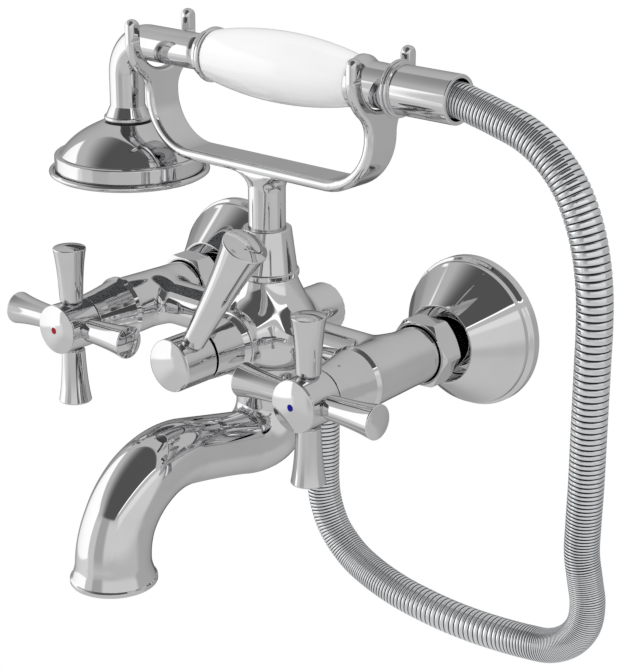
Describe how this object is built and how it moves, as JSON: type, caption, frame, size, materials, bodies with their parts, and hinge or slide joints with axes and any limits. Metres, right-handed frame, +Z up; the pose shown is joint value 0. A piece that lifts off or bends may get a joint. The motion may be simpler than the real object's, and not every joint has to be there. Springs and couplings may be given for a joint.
{
  "type": "bath shower mixer",
  "caption": "Wall-mounted chrome bath mixer with cross handles, lever diverter, curved spout, forked cradle and a hand shower with a ceramic grip on a ribbed hose.",
  "frame": {"origin": "on the wall, midway between the two inlets", "axes": "+X to the user's right, +Y into the wall, +Z up"},
  "size_m": [0.3252, 0.205, 0.2671],
  "materials": {
    "chrome": "polished",
    "brass": "satin",
    "rubber": "matte",
    "ceramic": "glossy",
    "steel": "plain",
    "plastic": "matte",
    "red": "enamel",
    "blue": "enamel"
  },
  "bodies": {
    "root": {"body_casting": "chrome", "rear_plug": "brass", "spout": "chrome", "aerator_housing": "chrome", "aerator_insert": "plastic", "hot_flange": "chrome", "hot_union": "brass", "hot_union_nut": "chrome", "hot_union_washer": "rubber", "hot_cartridge": "brass", "hot_fixed_disc": "ceramic", "hot_cartridge_seal": "rubber", "hot_bonnet": "chrome", "cold_flange": "chrome", "cold_union": "brass", "cold_union_nut": "chrome", "cold_union_washer": "rubber", "cold_cartridge": "brass", "cold_fixed_disc": "ceramic", "cold_cartridge_seal": "rubber", "cold_bonnet": "chrome", "diverter_cartridge": "brass", "diverter_seal": "rubber", "diverter_bonnet": "chrome", "cradle_collar": "chrome", "collar_ring": "rubber", "cradle": "chrome", "hose": "chrome", "hose_nut": "chrome", "outlet_nipple": "brass"},
    "hot_handle": {"hot_spindle": "brass", "hot_moving_disc": "ceramic", "hot_hub": "chrome", "hot_arms": "chrome", "hot_cap": "chrome", "hot_dot": "red", "hot_screw": "steel"},
    "cold_handle": {"cold_spindle": "brass", "cold_moving_disc": "ceramic", "cold_hub": "chrome", "cold_arms": "chrome", "cold_cap": "chrome", "cold_dot": "blue", "cold_screw": "steel"},
    "diverter_handle": {"diverter_spindle": "brass", "diverter_rotor": "ceramic", "diverter_knob": "chrome", "diverter_lever": "chrome", "diverter_grub_screw": "steel"},
    "handset": {"head_shell": "chrome", "face_ring": "chrome", "spray_face": "plastic", "head_washer": "rubber", "elbow_tube": "chrome", "front_ferrule": "chrome", "water_tube": "brass", "grip": "ceramic", "tail": "chrome", "hose_sleeve": "chrome"}
  },
  "joints": [
    {"name": "hot_turn", "type": "hinge", "parent": "root", "child": "hot_handle", "pos_m": [-0.075, -0.12, 0], "axis": [0, -1, 0], "range_deg": [0, 90]},
    {"name": "cold_turn", "type": "hinge", "parent": "root", "child": "cold_handle", "pos_m": [0.075, -0.12, 0], "axis": [0, -1, 0], "range_deg": [-90, 0]},
    {"name": "diverter_turn", "type": "hinge", "parent": "root", "child": "diverter_handle", "pos_m": [0, -0.12, 0], "axis": [0, -1, 0], "range_deg": [0, 64]},
    {"name": "handset_lift", "type": "slide", "parent": "root", "child": "handset", "axis": [-0.7071, 0, 0.7071], "range_m": [0, 0.1], "deforming": ["hose"]}
  ]
}
